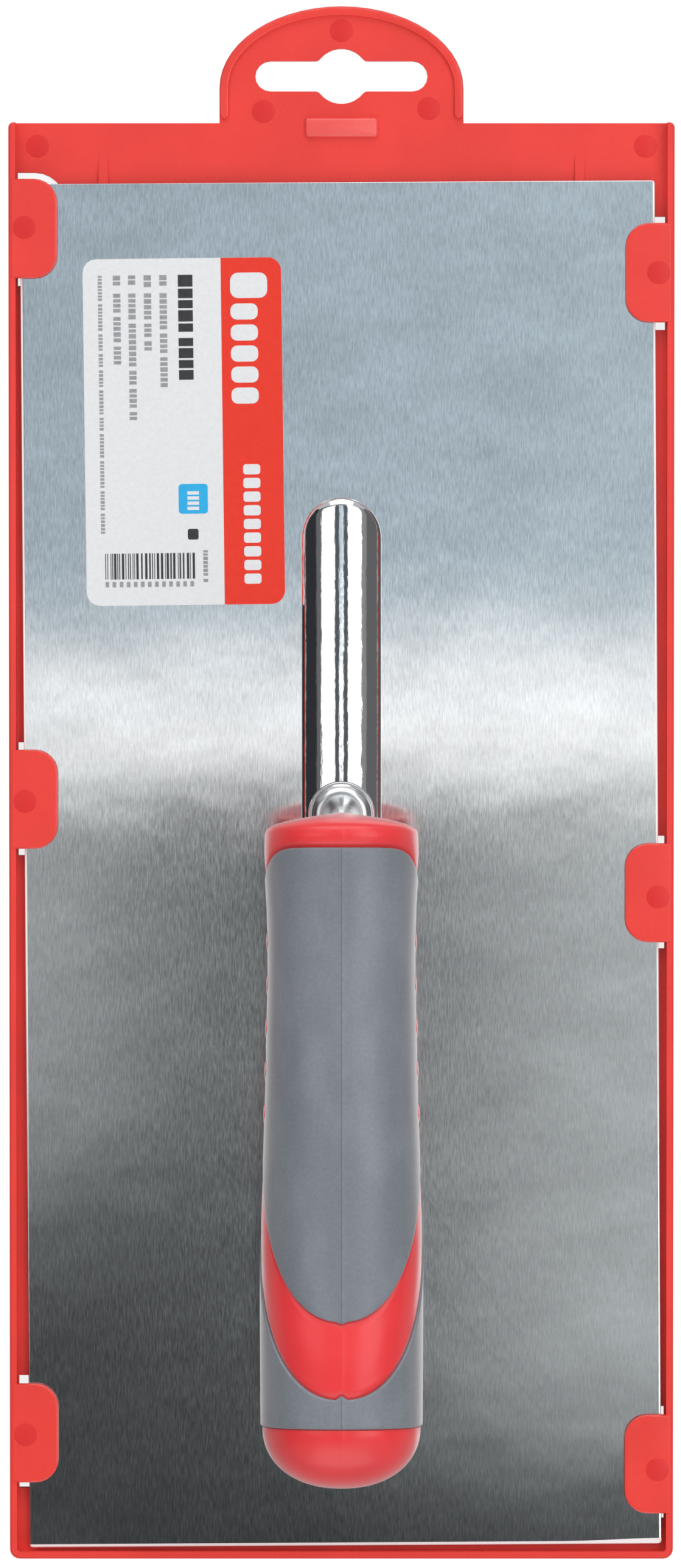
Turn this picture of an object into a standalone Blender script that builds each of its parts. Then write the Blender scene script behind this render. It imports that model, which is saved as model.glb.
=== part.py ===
"""Rectangular finishing trowel lying in its moulded blade carrier.

Metres. +Z is up, +Y runs along the blade towards the carrier's hang tab, +X is across the blade.
The origin is the middle of the object's underside. The carrier lies on the ground; the trowel
slides out of its open end along +Y.
"""

import math

import bmesh
import bpy
from mathutils import Vector

GAP = 0.0003  # clearance between pieces that touch

# Blade carrier: a shallow tray with three walls, six clips and a hang tab.
CARRIER_WIDTH = 0.1363
TRAY_LENGTH = 0.2947
TAB_HEIGHT = 0.0239
FLOOR = 0.0015
WALL = 0.00145
WALL_TOP = 0.0050
TRAY_CORNER = 0.0020
TRAY_TOP_CORNER = 0.0010
EDGE_ROUND = 0.0004
TRAY_BOTTOM_Y = -(TRAY_LENGTH + TAB_HEIGHT) / 2
TRAY_TOP_Y = TRAY_BOTTOM_Y + TRAY_LENGTH

TAB_HALF_WIDTH = 0.0250
TAB_SIDE = 0.0072  # straight part of the tab's sides, below its elliptical top
TAB_ARC = TAB_HEIGHT - TAB_SIDE
BEAD_WIDTH = 0.0018
BEAD_TOP = 0.0024
SLOT_CENTRE_Y = TRAY_TOP_Y + 0.0096
SLOT_LENGTH = 0.0353
SLOT_HEIGHT = 0.0062
SLOT_EYE_RADIUS = 0.00565
SLOT_FILLET = 0.0012
PAD_SIZE = (0.0147, 0.0037)
PAD_TOP = 0.0019

CLIP_LENGTH = 0.0203
CLIP_REACH = 0.0100
CLIP_CORNER = 0.00475
CLIP_BOTTOM = 0.0037
CLIP_TOP = 0.00525
CLIP_INSET = 0.0005  # how far a clip's outer face stands in from the wall's
LEFT_CLIPS_Y = (0.1137, -0.0031, -0.1334)
RIGHT_CLIPS_Y = (0.1047, -0.0223, -0.1398)
NOTCH = 0.00145  # how far a clip's window runs past it along the wall

RUNNER_X = 0.0488
RUNNER_WIDTH = 0.0019
RUNNER_TOP = 0.0024
RAMP_LENGTH = 0.0062
RUNNER_END_Y = -0.1500

WINDOW_HALF_WIDTH = 0.0440
WINDOW_CORNER = 0.0060
WINDOW_BAR = 0.0140
WINDOW_LOW_Y = -0.1460
WINDOW_HIGH_Y = 0.1140
WINDOW_COUNT = 3

# Trowel blade.
BLADE_WIDTH = 0.1300
BLADE_LENGTH = 0.2800
BLADE_THICKNESS = 0.0007
BLADE_CORNER = 0.0006
BLADE_Z = RUNNER_TOP + GAP
BLADE_TOP = BLADE_Z + BLADE_THICKNESS
BLADE_END_PLAY = 0.0011
BLADE_Y = TRAY_BOTTOM_Y + WALL + BLADE_END_PLAY + BLADE_LENGTH / 2
BLADE_TURN = math.radians(0.36)  # how far the sheet sits askew under its bar

LABEL_SIZE = (0.0407, 0.0710)
LABEL_CORNER = 0.0028
LABEL_THICKNESS = 0.00015
LABEL_CENTRE = (-0.0323, 0.0722)
LABEL_TURN = math.radians(0.7)

# Half-round shank bar and its rivets.
BAR_WIDTH = 0.0163
BAR_LENGTH = 0.1508
BAR_RIM = 0.0008  # width and height of the flat rim round the bar's foot
BAR_HEIGHT = 0.0065
BAR_Z = BLADE_TOP + GAP
RIVET_OFFSETS = (0.024, 0.046, 0.068)
RIVET_SHANK = 0.0020
RIVET_HEAD = 0.0031
RIVET_DEPTH = 0.0034  # how far a rivet reaches into the bar

# Neck: a turned foot set into the bar, bent back into the handle as its tang.
NECK_Y = BLADE_Y + 0.0107
NECK_RADIUS = 0.0042
FOOT_RADIUS = 0.0067
FOOT_Z = 0.0073
FOOT_RIM_Z = 0.0105
FOOT_TOP_Z = 0.0146
SPIGOT_RADIUS = 0.0030
SPIGOT_Z = BAR_Z + GAP
TANG_RADIUS = 0.0030

# Handle. A station is a distance back from the handle's front end.
HANDLE_LENGTH = 0.1346
HANDLE_FRONT_Y = BLADE_Y + 0.0126
HANDLE_Z = 0.0520
HEIGHT_RATIO = 1.04
SECTION_POWER = 2.25
WIDTH_STATIONS = ((0.000, 0.0155), (0.008, 0.0155), (0.020, 0.01485), (0.032, 0.0147), (0.044, 0.01495),
                  (0.056, 0.0152), (0.068, 0.0156), (0.081, 0.01605), (0.093, 0.01625), (0.122, 0.01615))
FRONT_ROUND = 0.0034
FRONT_POWER = 3.0
FRONT_LEAN = 0.0015
LEAN_FADE = 0.0250
GRIP_THICKNESS = 0.0022
GRIP_PROUD = 0.0003
GRIP_EDGE_GAP = 0.0007  # along the handle, where the grips end on slanted edges
COLLAR_TOP = 0.0065
COLLAR_SIDE = 0.0064  # how much further back the collar runs at each side
COLLAR_CHIN = 0.0016  # and further still underneath, behind the neck
COLLAR_POWER = 4
BAND_FRONT = (0.0670, 0.0329)  # station of the band's front edge at half height, and its slope
BAND_REAR = (0.0885, 0.0268)
GRIP_END = (0.1221, -0.0010)
CAP_POWER = 2.2

COUNTERBORE_STATION = 0.1080
COUNTERBORE_RADIUS = 0.0105
TANG_STRAIGHT = 0.0274
TANG_TAPER_END = 0.0320
TANG_END = 0.1170
WASHER_RADIUS = 0.0085
WASHER_THICKNESS = 0.0015
NUT_ACROSS_FLATS = 0.0100
NUT_THICKNESS = 0.0050
PLUG_STATION = 0.1182
PLUG_RADIUS = 0.0094

ROUND_SIDES = 40


def clear_scene():
    for old in list(bpy.data.objects):
        bpy.data.objects.remove(old, do_unlink=True)


def material(name, colour, roughness, metallic=0.0):
    made = bpy.data.materials.new(name)
    made.use_nodes = True
    shader = made.node_tree.nodes["Principled BSDF"]
    shader.inputs["Base Color"].default_value = (*colour, 1.0)
    shader.inputs["Roughness"].default_value = roughness
    shader.inputs["Metallic"].default_value = metallic
    return made


def add_object(name, vertices, faces, look=None):
    """A mesh object with its faces turned outwards."""
    mesh = bpy.data.meshes.new(name)
    mesh.from_pydata([tuple(v) for v in vertices], [], faces)
    work = bmesh.new()
    work.from_mesh(mesh)
    bmesh.ops.recalc_face_normals(work, faces=work.faces)
    work.to_mesh(mesh)
    work.free()
    made = bpy.data.objects.new(name, mesh)
    bpy.context.scene.collection.objects.link(made)
    if look:
        mesh.materials.append(look)
    return made


def helper(made):
    """Marks an object as a tool of another object's modifiers."""
    made.hide_render = True
    made.display_type = "WIRE"
    return made


def combine(target, tool, operation):
    step = target.modifiers.new(f"{operation.lower()} {tool.name}", "BOOLEAN")
    step.operation = operation
    step.object = helper(tool)


def shade_round(made, degrees=40.0):
    made.data.shade_smooth()
    made.data.set_sharp_from_angle(angle=math.radians(degrees))


def arc(centre, radius, start, end, steps):
    """Points on an ellipse; radius is one number or a pair, angles are in degrees."""
    rx, ry = radius if isinstance(radius, tuple) else (radius, radius)
    points = []
    for i in range(steps + 1):
        angle = math.radians(start + (end - start) * i / steps)
        points.append((centre[0] + rx * math.cos(angle), centre[1] + ry * math.sin(angle)))
    return points


def rounded_rectangle(centre, size, radius, steps=4):
    half_x = size[0] / 2 - radius
    half_y = size[1] / 2 - radius
    corners = ((1, 1), (-1, 1), (-1, -1), (1, -1))
    points = []
    for i, (sx, sy) in enumerate(corners):
        middle = (centre[0] + sx * half_x, centre[1] + sy * half_y)
        points += arc(middle, radius, 90 * i, 90 * i + 90, steps)
    return points


def prism(name, outline, low, high, look=None, edge=0.0, segments=2):
    """An outline in XY extruded from low to high, with its upper edge rounded by edge."""
    count = len(outline)
    vertices = [(x, y, low) for x, y in outline] + [(x, y, high) for x, y in outline]
    faces = [tuple(range(count))[::-1], tuple(range(count, 2 * count))]
    faces += [(i, (i + 1) % count, count + (i + 1) % count, count + i) for i in range(count)]
    made = add_object(name, vertices, faces, look)
    if edge:
        work = bmesh.new()
        work.from_mesh(made.data)
        upper = [e for e in work.edges if all(v.co.z > high - 1e-6 for v in e.verts)]
        bmesh.ops.bevel(work, geom=upper, offset=edge, segments=segments, profile=0.5, affect="EDGES")
        work.to_mesh(made.data)
        work.free()
    return made


def skin(name, rings, look=None, closed=False):
    """Joins rings of equal length; the end rings are capped, or joined when closed."""
    sides = len(rings[0])
    vertices = [point for ring in rings for point in ring]
    faces = []
    spans = len(rings) if closed else len(rings) - 1
    for r in range(spans):
        here = r * sides
        there = ((r + 1) % len(rings)) * sides
        for i in range(sides):
            j = (i + 1) % sides
            faces.append((here + i, here + j, there + j, there + i))
    if not closed:
        last = (len(rings) - 1) * sides
        faces.append(tuple(range(sides))[::-1])
        faces.append(tuple(last + i for i in range(sides)))
    return add_object(name, vertices, faces, look)


def turned(name, profile, centre, look=None, sides=20, closed=False):
    """A profile of (radius, z) pairs turned about the vertical line through centre."""
    rings = []
    for radius, z in profile:
        ring = []
        for i in range(sides):
            angle = 2 * math.pi * i / sides
            ring.append((centre[0] + radius * math.cos(angle), centre[1] + radius * math.sin(angle), z))
        rings.append(ring)
    return skin(name, rings, look, closed)


# Blade carrier


def tray_outline():
    """The tray with its hang tab, counter-clockwise from the lower right corner."""
    half = CARRIER_WIDTH / 2
    low = TRAY_BOTTOM_Y
    high = TRAY_TOP_Y
    points = arc((half - TRAY_CORNER, low + TRAY_CORNER), TRAY_CORNER, -90, 0, 5)
    points += arc((half - TRAY_TOP_CORNER, high - TRAY_TOP_CORNER), TRAY_TOP_CORNER, 0, 90, 3)
    points.append((TAB_HALF_WIDTH, high))
    points += arc((0, high + TAB_SIDE), (TAB_HALF_WIDTH, TAB_ARC), 0, 180, 28)
    points.append((-TAB_HALF_WIDTH, high))
    points += arc((TRAY_TOP_CORNER - half, high - TRAY_TOP_CORNER), TRAY_TOP_CORNER, 90, 180, 3)
    points += arc((TRAY_CORNER - half, low + TRAY_CORNER), TRAY_CORNER, 180, 270, 5)
    return points


def bead_outline():
    """A band along the tab's edge with round ends at the tab's foot."""
    margin = 0.0001
    outer = TAB_HALF_WIDTH - margin
    inner = outer - BEAD_WIDTH
    rise = TAB_ARC - margin
    foot = TRAY_TOP_Y + BEAD_WIDTH
    centre = (0, TRAY_TOP_Y + TAB_SIDE)
    middle = (outer + inner) / 2
    points = arc(centre, (outer, rise), 0, 180, 28)
    points += arc((-middle, foot), BEAD_WIDTH / 2, 180, 360, 5)
    points += arc(centre, (inner, rise - BEAD_WIDTH), 180, 0, 28)
    points += arc((middle, foot), BEAD_WIDTH / 2, 180, 360, 5)
    return points


def slot_outline():
    """The long hang slot with its round eye."""
    end_radius = SLOT_HEIGHT / 2
    end_x = SLOT_LENGTH / 2 - end_radius
    reach = SLOT_EYE_RADIUS + SLOT_FILLET
    fillet_y = end_radius + SLOT_FILLET
    fillet_x = math.sqrt(reach ** 2 - fillet_y ** 2)
    meet = math.degrees(math.asin(fillet_y / reach))
    points = []
    for turn in (0, 180):
        quarter = arc((end_x, 0), end_radius, -90, 90, 8)
        quarter += arc((fillet_x, fillet_y), SLOT_FILLET, 270, 180 + meet, 3)
        quarter += arc((0, 0), SLOT_EYE_RADIUS, meet, 180 - meet, 9)[1:-1]
        quarter += arc((-fillet_x, fillet_y), SLOT_FILLET, 360 - meet, 270, 3)
        sign = 1 if turn == 0 else -1
        points += [(sign * x, SLOT_CENTRE_Y + sign * y) for x, y in quarter]
    return points


def clip_outline(side, centre_y, outer_x, inner_x, half_length, corner):
    """A tongue from outer_x in to inner_x with round inner corners, on side 1 (right) or -1."""
    points = [(outer_x, centre_y + half_length)]
    points += arc((inner_x + corner, centre_y + half_length - corner), corner, 90, 180, 6)
    points += arc((inner_x + corner, centre_y - half_length + corner), corner, 180, 270, 6)
    points.append((outer_x, centre_y - half_length))
    return [(side * x, y) for x, y in points]


def runner(side):
    """A rail under the blade that starts as a ramp in front of the blade's edge."""
    ramp_top_y = BLADE_Y + BLADE_LENGTH / 2
    embedded = FLOOR / 2
    profile = [(ramp_top_y + RAMP_LENGTH, embedded), (ramp_top_y + RAMP_LENGTH, FLOOR), (ramp_top_y, RUNNER_TOP),
               (RUNNER_END_Y, RUNNER_TOP), (RUNNER_END_Y, embedded)]
    rings = []
    for x in (-RUNNER_WIDTH / 2, RUNNER_WIDTH / 2):
        rings.append([(side * RUNNER_X + x, y, z) for y, z in profile])
    return skin("runner", rings)


def build_carrier(look):
    carrier = prism("blade_carrier", tray_outline(), 0, WALL_TOP, look, EDGE_ROUND, 1)
    inside = CARRIER_WIDTH / 2 - WALL
    low = TRAY_BOTTOM_Y + WALL
    beyond = TRAY_TOP_Y + 2 * TAB_HEIGHT
    pocket = rounded_rectangle((0, (low + beyond) / 2), (2 * inside, beyond - low), WALL / 2, 3)
    combine(carrier, prism("pocket", pocket, FLOOR, 2 * WALL_TOP), "DIFFERENCE")
    embedded = FLOOR / 2
    combine(carrier, prism("bead", bead_outline(), embedded, BEAD_TOP, None, EDGE_ROUND), "UNION")
    pad = rounded_rectangle((0, TRAY_TOP_Y - PAD_SIZE[1] / 4), PAD_SIZE, 0.0006, 2)
    combine(carrier, prism("pad", pad, embedded, PAD_TOP), "UNION")
    for side in (-1, 1):
        combine(carrier, runner(side), "UNION")
    combine(carrier, prism("slot", slot_outline(), -FLOOR, 2 * WALL_TOP), "DIFFERENCE")
    length = (WINDOW_HIGH_Y - WINDOW_LOW_Y - (WINDOW_COUNT - 1) * WINDOW_BAR) / WINDOW_COUNT
    for i in range(WINDOW_COUNT):
        middle = WINDOW_LOW_Y + length / 2 + i * (length + WINDOW_BAR)
        window = rounded_rectangle((0, middle), (2 * WINDOW_HALF_WIDTH, length), WINDOW_CORNER)
        combine(carrier, prism("window", window, -FLOOR, 2 * FLOOR), "DIFFERENCE")
    outer = CARRIER_WIDTH / 2
    for side, places in ((-1, LEFT_CLIPS_Y), (1, RIGHT_CLIPS_Y)):
        for y in places:
            tongue = clip_outline(side, y, outer - CLIP_INSET, outer - CLIP_REACH, CLIP_LENGTH / 2, CLIP_CORNER)
            combine(carrier, prism("clip", tongue, CLIP_BOTTOM, CLIP_TOP, None, EDGE_ROUND), "UNION")
            hole = clip_outline(side, y, inside - GAP, outer - CLIP_REACH - NOTCH, CLIP_LENGTH / 2 + NOTCH,
                                CLIP_CORNER + NOTCH)
            combine(carrier, prism("clip_window", hole, -FLOOR, 2 * FLOOR), "DIFFERENCE")
    return carrier


# Blade, label, bar and rivets


def rivet_places():
    return [BLADE_Y + sign * offset for offset in RIVET_OFFSETS for sign in (1, -1)]


def turned_outline(centre, size, corner, turn, steps):
    """A rounded rectangle turned about its centre."""
    flat = rounded_rectangle((0, 0), size, corner, steps)
    cosine = math.cos(turn)
    sine = math.sin(turn)
    return [(centre[0] + x * cosine - y * sine, centre[1] + x * sine + y * cosine) for x, y in flat]


def build_blade(look):
    outline = turned_outline((0, BLADE_Y), (BLADE_WIDTH, BLADE_LENGTH), BLADE_CORNER, BLADE_TURN, 2)
    blade = prism("blade", outline, BLADE_Z, BLADE_TOP, look)
    for y in rivet_places():
        over = BLADE_THICKNESS
        slope = (RIVET_HEAD - RIVET_SHANK) / BLADE_THICKNESS
        profile = [(RIVET_HEAD + GAP + slope * over, BLADE_Z - over), (RIVET_SHANK + GAP, BLADE_TOP),
                   (RIVET_SHANK + GAP, BLADE_TOP + over)]
        combine(blade, turned("countersink", profile, (0, y)), "DIFFERENCE")
    return blade


def build_label(look):
    outline = turned_outline(LABEL_CENTRE, LABEL_SIZE, LABEL_CORNER, LABEL_TURN, 4)
    return prism("blade_label", outline, BLADE_TOP + GAP, BLADE_TOP + GAP + LABEL_THICKNESS, look)


def stadium(radius, z, steps=12):
    """A ring round the bar's centre line at the given distance from it."""
    reach = BAR_LENGTH / 2 - BAR_WIDTH / 2
    points = arc((0, BLADE_Y + reach), radius, 0, 180, steps)
    points += arc((0, BLADE_Y - reach), radius, 180, 360, steps)
    return [(x, y, z) for x, y in points]


def build_bar(look):
    half = BAR_WIDTH / 2
    dome = half - BAR_RIM
    rise = BAR_HEIGHT - BAR_RIM
    rings = [stadium(half, BAR_Z), stadium(half, BAR_Z + BAR_RIM)]
    for i in range(8):
        angle = math.radians(90 * i / 8)
        rings.append(stadium(dome * math.cos(angle), BAR_Z + BAR_RIM + rise * math.sin(angle)))
    rings.append(stadium(dome * 0.06, BAR_Z + BAR_HEIGHT))
    bar = skin("shank_bar", rings, look)
    for y in rivet_places():
        hole = [(RIVET_SHANK + GAP, BLADE_Z), (RIVET_SHANK + GAP, BAR_Z + RIVET_DEPTH + GAP)]
        combine(bar, turned("rivet_hole", hole, (0, y)), "DIFFERENCE")
    socket = [(SPIGOT_RADIUS + GAP, BLADE_Z), (SPIGOT_RADIUS + GAP, FOOT_Z - GAP),
              (FOOT_RADIUS + GAP, FOOT_Z - GAP), (FOOT_RADIUS + GAP, 2 * FOOT_TOP_Z)]
    combine(bar, turned("neck_socket", socket, (0, NECK_Y), sides=32), "DIFFERENCE")
    shade_round(bar)
    return bar


def build_rivets(look):
    profile = [(RIVET_HEAD, BLADE_Z), (RIVET_SHANK, BLADE_TOP), (RIVET_SHANK, BAR_Z + RIVET_DEPTH)]
    for i, y in enumerate(rivet_places()):
        turned(f"blade_rivet_{i + 1}", profile, (0, y), look)


# Neck and tang


def neck_line(steps=14):
    """The neck's centre line from the top of its foot to the tang, as (y, z) pairs."""
    tang_y = HANDLE_FRONT_Y - TANG_STRAIGHT
    controls = ((NECK_Y, FOOT_TOP_Z), (NECK_Y - 0.0005, FOOT_TOP_Z + 0.0205), (tang_y + 0.0190, HANDLE_Z - 0.0005),
                (tang_y, HANDLE_Z - 0.0005))
    points = []
    for i in range(steps + 1):
        t = i / steps
        weights = ((1 - t) ** 3, 3 * t * (1 - t) ** 2, 3 * t * t * (1 - t), t ** 3)
        points.append(tuple(sum(w * c[k] for w, c in zip(weights, controls)) for k in range(2)))
    return points


def swept_ring(y, z, tangent, radius, sides):
    """A circle round a centre line that lies in the plane x = 0."""
    along = Vector((0, tangent[0], tangent[1])).normalized()
    across = Vector((1, 0, 0))
    up = along.cross(across)
    ring = []
    for i in range(sides):
        angle = 2 * math.pi * i / sides
        ring.append(Vector((0, y, z)) + radius * (math.cos(angle) * across + math.sin(angle) * up))
    return ring


def neck_body(name, extra, start_z, end_station, look=None, sides=24):
    """The neck and tang as one solid; extra widens it into the cutter for its bore."""
    upright = (0, 1)
    rings = []
    if not extra:
        rings.append(swept_ring(NECK_Y, SPIGOT_Z, upright, SPIGOT_RADIUS, sides))
        rings.append(swept_ring(NECK_Y, FOOT_Z, upright, SPIGOT_RADIUS, sides))
        rings.append(swept_ring(NECK_Y, FOOT_Z, upright, FOOT_RADIUS, sides))
        rings.append(swept_ring(NECK_Y, FOOT_RIM_Z, upright, FOOT_RADIUS, sides))
        for i in range(1, 6):
            angle = math.radians(90 * i / 6)
            radius = FOOT_RADIUS - (FOOT_RADIUS - NECK_RADIUS) * math.sin(angle)
            z = FOOT_TOP_Z - (FOOT_TOP_Z - FOOT_RIM_Z) * math.cos(angle)
            rings.append(swept_ring(NECK_Y, z, upright, radius, sides))
    else:
        rings.append(swept_ring(NECK_Y, start_z, upright, NECK_RADIUS + extra, sides))
    line = neck_line()
    for i, (y, z) in enumerate(line):
        before = line[max(i - 1, 0)]
        after = line[min(i + 1, len(line) - 1)]
        tangent = (after[0] - before[0], after[1] - before[1])
        if i == 0:
            tangent = upright
        if i == len(line) - 1:
            tangent = (-1, 0)
        rings.append(swept_ring(y, z, tangent, NECK_RADIUS + extra, sides))
    for station, radius in ((TANG_TAPER_END, TANG_RADIUS), (end_station, TANG_RADIUS)):
        rings.append(swept_ring(HANDLE_FRONT_Y - station, HANDLE_Z - 0.0005, (-1, 0), radius + extra, sides))
    return skin(name, rings, look)


def build_neck(look):
    neck = neck_body("neck_tang", 0, SPIGOT_Z, TANG_END, look)
    shade_round(neck)
    return neck


# Handle


def half_width(station):
    """The handle's half width, by a smooth curve through its width stations."""
    knots = WIDTH_STATIONS
    station = min(max(station, knots[0][0]), knots[-1][0])
    i = max(k for k in range(len(knots) - 1) if knots[k][0] <= station)

    def slope(k):
        low = max(k - 1, 0)
        high = min(k + 1, len(knots) - 1)
        return (knots[high][1] - knots[low][1]) / (knots[high][0] - knots[low][0])

    span = knots[i + 1][0] - knots[i][0]
    t = (station - knots[i][0]) / span
    start = (2 * t ** 3 - 3 * t ** 2 + 1) * knots[i][1] + (t ** 3 - 2 * t ** 2 + t) * span * slope(i)
    end = (3 * t ** 2 - 2 * t ** 3) * knots[i + 1][1] + (t ** 3 - t ** 2) * span * slope(i + 1)
    return start + end


def section(angle):
    """A point of the handle's unit cross-section; angle 0 is its top."""
    power = 2 / SECTION_POWER
    x = math.copysign(abs(math.sin(angle)) ** power, math.sin(angle))
    z = math.copysign(abs(math.cos(angle)) ** power, math.cos(angle))
    return x, z


def handle_point(station, angle, radius):
    x, z = section(angle)
    fade = max(0.0, 1 - station / LEAN_FADE) ** 2
    y = HANDLE_FRONT_Y - station - FRONT_LEAN * (1 - z) * fade
    return x * radius, y, HANDLE_Z + z * radius * HEIGHT_RATIO


def handle_ring(station, inset=0.0, radius=None):
    """A ring on the handle; station may be a number or a function of the height in the section."""
    ring = []
    for i in range(ROUND_SIDES):
        angle = 2 * math.pi * i / ROUND_SIDES
        place = station(section(angle)[1]) if callable(station) else station
        reach = half_width(place) - inset if radius is None else radius
        ring.append(handle_point(place, angle, reach))
    return ring


def collar_edge(height):
    side = COLLAR_SIDE * (1 - max(height, 0) ** 2) ** COLLAR_POWER
    return COLLAR_TOP + side + COLLAR_CHIN * min(height, 0) ** 2


def band_front(height):
    return BAND_FRONT[0] + BAND_FRONT[1] * height


def band_rear(height):
    return BAND_REAR[0] + BAND_REAR[1] * height


def grip_end(height):
    return GRIP_END[0] + GRIP_END[1] * height


def shifted(edge, distance):
    return lambda height: edge(height) + distance


def between(first, second, part):
    return lambda height: first(height) + part * (second(height) - first(height))


def level(station):
    return lambda height: station


def zone(first, second, inset, steps):
    """Rings at one inset from edge to edge."""
    return [handle_ring(between(first, second, i / steps), inset) for i in range(steps + 1)]


def front_rings():
    """The rounded front end of the core."""
    rings = []
    for part in (0.012, 0.05, 0.14, 0.3, 0.55, 0.8):
        shrink = (1 - (1 - part) ** FRONT_POWER) ** (1 / FRONT_POWER)
        rings.append(handle_ring(part * FRONT_ROUND, radius=(half_width(0) - GRIP_PROUD) * shrink))
    return rings


def build_core(look):
    deep = GRIP_THICKNESS + GAP
    grip_low = shifted(collar_edge, -GRIP_EDGE_GAP)
    grip_high = shifted(band_front, GRIP_EDGE_GAP)
    ring_low = shifted(band_rear, -GRIP_EDGE_GAP)
    rings = front_rings()
    rings += zone(level(FRONT_ROUND), grip_low, GRIP_PROUD, 3)
    rings += zone(grip_low, grip_high, deep, 8)
    rings += zone(grip_high, ring_low, GRIP_PROUD, 4)
    rings += zone(ring_low, grip_end, deep, 2)
    core = skin("handle_core", rings, look)
    combine(core, neck_body("tang_bore", GAP, FOOT_TOP_Z, COUNTERBORE_STATION + GRIP_THICKNESS), "DIFFERENCE")
    ends = (COUNTERBORE_STATION, HANDLE_LENGTH)
    bore = [swept_ring(HANDLE_FRONT_Y - s, HANDLE_Z, (-1, 0), COUNTERBORE_RADIUS, 32) for s in ends]
    combine(core, skin("counterbore", bore), "DIFFERENCE")
    shade_round(core)
    return core


def build_grip(name, first, second, steps, look):
    """A soft shell between two edges, with its rims slightly rounded."""
    rim = 0.0004
    outer = [handle_ring(first, rim)]
    outer += zone(shifted(first, rim), shifted(second, -rim), 0, steps)
    outer.append(handle_ring(second, rim))
    inner = zone(first, second, GRIP_THICKNESS, max(2, steps // 2))
    grip = skin(name, outer + inner[::-1], look, closed=True)
    shade_round(grip)
    return grip


def build_cap(look):
    start = shifted(grip_end, GAP)
    radius = half_width(GRIP_END[0]) - 2 * GRIP_PROUD
    rings = [handle_ring(PLUG_STATION, radius=PLUG_RADIUS), handle_ring(start, radius=PLUG_RADIUS)]
    for part in (0, 0.12, 0.28, 0.44, 0.6, 0.74, 0.85, 0.93, 0.98, 0.998):
        shrink = (1 - part ** CAP_POWER) ** (1 / CAP_POWER)
        rings.append(handle_ring(between(start, level(HANDLE_LENGTH), part), radius=radius * shrink))
    cap = skin("end_cap", rings, look)
    shade_round(cap)
    return cap


def tang_ring(name, station, thickness, outer_radius, outer_sides, look):
    """A washer or nut on the tang, with its axis along Y."""
    sides = 24
    hole = TANG_RADIUS + GAP
    flat_turn = math.pi / outer_sides
    rings = []
    for place, reach in ((0, 0), (0, 1), (1, 1), (1, 0)):
        y = HANDLE_FRONT_Y - station - place * thickness
        ring = []
        for i in range(sides):
            angle = 2 * math.pi * i / sides
            off_flat = (angle + flat_turn) % (2 * flat_turn) - flat_turn
            outer = outer_radius / math.cos(off_flat)
            radius = outer if reach else hole
            ring.append((radius * math.sin(angle), y, HANDLE_Z - 0.0005 + radius * math.cos(angle)))
        rings.append(ring)
    return skin(name, rings, look, closed=True)


def build_fasteners(look):
    washer = COUNTERBORE_STATION + GAP
    tang_ring("tang_washer", washer, WASHER_THICKNESS, WASHER_RADIUS, 24, look)
    tang_ring("tang_nut", washer + WASHER_THICKNESS + GAP, NUT_THICKNESS, NUT_ACROSS_FLATS / 2, 6, look)


def main():
    clear_scene()
    red = material("red polypropylene", (0.76, 0.07, 0.05), 0.42)
    core_red = material("red handle plastic", (0.70, 0.05, 0.06), 0.38)
    grey = material("grey soft grip", (0.17, 0.18, 0.21), 0.62)
    steel = material("brushed stainless steel", (0.62, 0.64, 0.66), 0.30, 1.0)
    chrome = material("chrome plate", (0.86, 0.87, 0.88), 0.06, 1.0)
    zinc = material("plated steel", (0.60, 0.60, 0.58), 0.35, 1.0)
    paper = material("label film", (0.88, 0.88, 0.87), 0.50)
    build_carrier(red)
    build_blade(steel)
    build_label(paper)
    build_bar(chrome)
    build_rivets(zinc)
    build_neck(chrome)
    build_core(core_red)
    build_grip("grip_front", collar_edge, band_front, 14, grey)
    build_grip("grip_rear_ring", band_rear, grip_end, 5, grey)
    build_fasteners(zinc)
    build_cap(core_red)


main()
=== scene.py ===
"""The looks of a finishing trowel in its blade carrier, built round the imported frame.

Metres, in the frame's own axes: +Z up, +Y along the blade towards the hang tab, +X across it.
Every piece is made in place in the frame, so an object's own coordinates are the frame's.
"""

import math
import random

import bmesh
import bpy
from mathutils import Matrix, Vector


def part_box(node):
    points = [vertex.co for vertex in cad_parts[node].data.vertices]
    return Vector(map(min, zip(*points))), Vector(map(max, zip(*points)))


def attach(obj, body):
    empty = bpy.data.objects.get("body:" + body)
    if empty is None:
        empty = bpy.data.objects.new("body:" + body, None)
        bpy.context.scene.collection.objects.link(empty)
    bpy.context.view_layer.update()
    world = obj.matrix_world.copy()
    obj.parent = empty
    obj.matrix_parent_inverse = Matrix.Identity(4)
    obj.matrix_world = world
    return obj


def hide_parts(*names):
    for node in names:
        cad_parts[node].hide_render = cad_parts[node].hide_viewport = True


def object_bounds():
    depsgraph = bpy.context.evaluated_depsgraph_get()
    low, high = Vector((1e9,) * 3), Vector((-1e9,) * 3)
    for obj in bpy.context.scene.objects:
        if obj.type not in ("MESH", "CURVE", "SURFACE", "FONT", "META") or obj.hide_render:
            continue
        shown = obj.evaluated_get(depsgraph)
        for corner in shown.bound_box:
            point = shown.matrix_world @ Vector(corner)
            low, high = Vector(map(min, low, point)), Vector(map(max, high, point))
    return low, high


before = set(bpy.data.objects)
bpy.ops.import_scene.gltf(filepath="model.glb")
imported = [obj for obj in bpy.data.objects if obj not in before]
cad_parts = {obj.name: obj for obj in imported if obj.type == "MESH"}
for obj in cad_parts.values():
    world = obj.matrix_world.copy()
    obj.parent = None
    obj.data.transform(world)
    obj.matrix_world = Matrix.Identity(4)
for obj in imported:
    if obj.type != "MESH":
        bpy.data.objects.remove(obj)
cad_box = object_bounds()

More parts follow.
